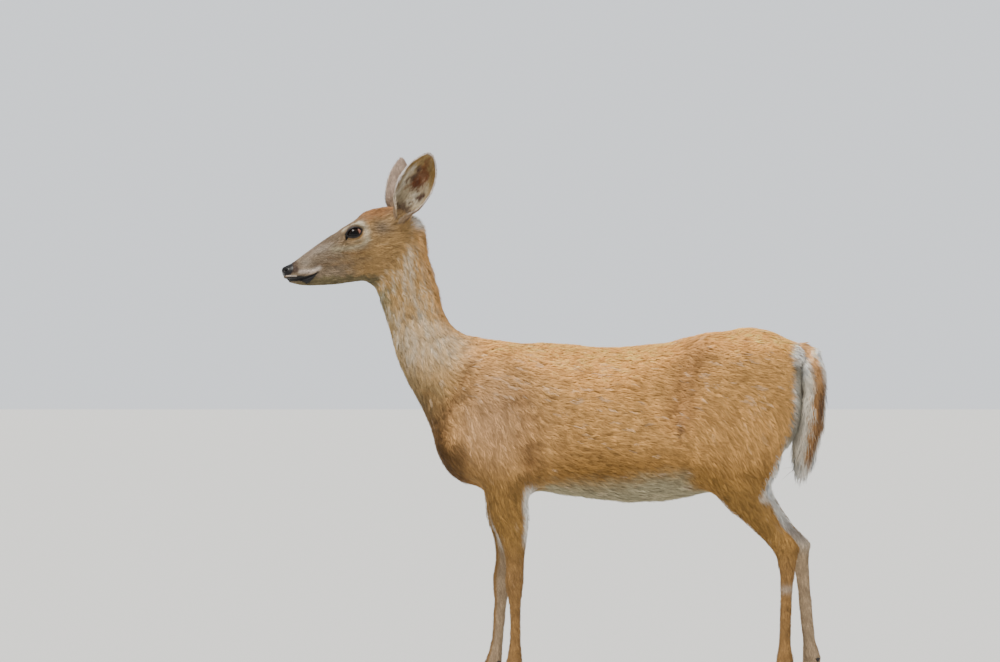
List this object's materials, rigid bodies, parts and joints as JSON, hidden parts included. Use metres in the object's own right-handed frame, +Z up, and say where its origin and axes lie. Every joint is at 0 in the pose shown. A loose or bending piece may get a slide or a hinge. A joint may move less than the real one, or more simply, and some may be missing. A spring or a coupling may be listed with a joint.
{
  "type": "white-tailed deer",
  "caption": "Adult female white-tailed deer in short summer coat, standing alert with head raised and turned slightly left, ears up and tail hanging; a still, life-size model.",
  "frame": {"origin": "on the floor under the middle of the animal's length and width", "axes": "+Z up, -Y the way the animal faces, +X to its left"},
  "size_m": [0.2802, 1.2936, 1.3035],
  "materials": {
    "coat": "short tan-orange summer hair, lying flat",
    "face_coat": "very short grey-tan hair with a white eye ring, chin and throat",
    "leg_coat": "short tan hair, whitish on the inner side",
    "tail_coat": "long hair, brown on the back and white at the sides and below",
    "hoof": "dark horn with a dull sheen",
    "eye": "wet, dark brown",
    "nose": "bare black skin, finely pebbled and moist"
  },
  "bodies": {
    "root": {"trunk": "coat", "neck": "coat", "head": "face_coat", "lower_jaw": "face_coat", "nose": "nose", "eye_left": "eye", "eye_right": "eye", "ear_left": "face_coat", "ear_right": "face_coat", "tail": "tail_coat", "foreleg_left_upper": "leg_coat", "foreleg_left_lower": "leg_coat", "hoof_foreleg_left_inner": "hoof", "dewclaw_foreleg_left_inner": "hoof", "hoof_foreleg_left_outer": "hoof", "dewclaw_foreleg_left_outer": "hoof", "foreleg_right_upper": "leg_coat", "foreleg_right_lower": "leg_coat", "hoof_foreleg_right_inner": "hoof", "dewclaw_foreleg_right_inner": "hoof", "hoof_foreleg_right_outer": "hoof", "dewclaw_foreleg_right_outer": "hoof", "hindleg_left_upper": "leg_coat", "hindleg_left_lower": "leg_coat", "hoof_hindleg_left_inner": "hoof", "dewclaw_hindleg_left_inner": "hoof", "hoof_hindleg_left_outer": "hoof", "dewclaw_hindleg_left_outer": "hoof", "hindleg_right_upper": "leg_coat", "hindleg_right_lower": "leg_coat", "hoof_hindleg_right_inner": "hoof", "dewclaw_hindleg_right_inner": "hoof", "hoof_hindleg_right_outer": "hoof", "dewclaw_hindleg_right_outer": "hoof"}
  },
  "joints": []
}
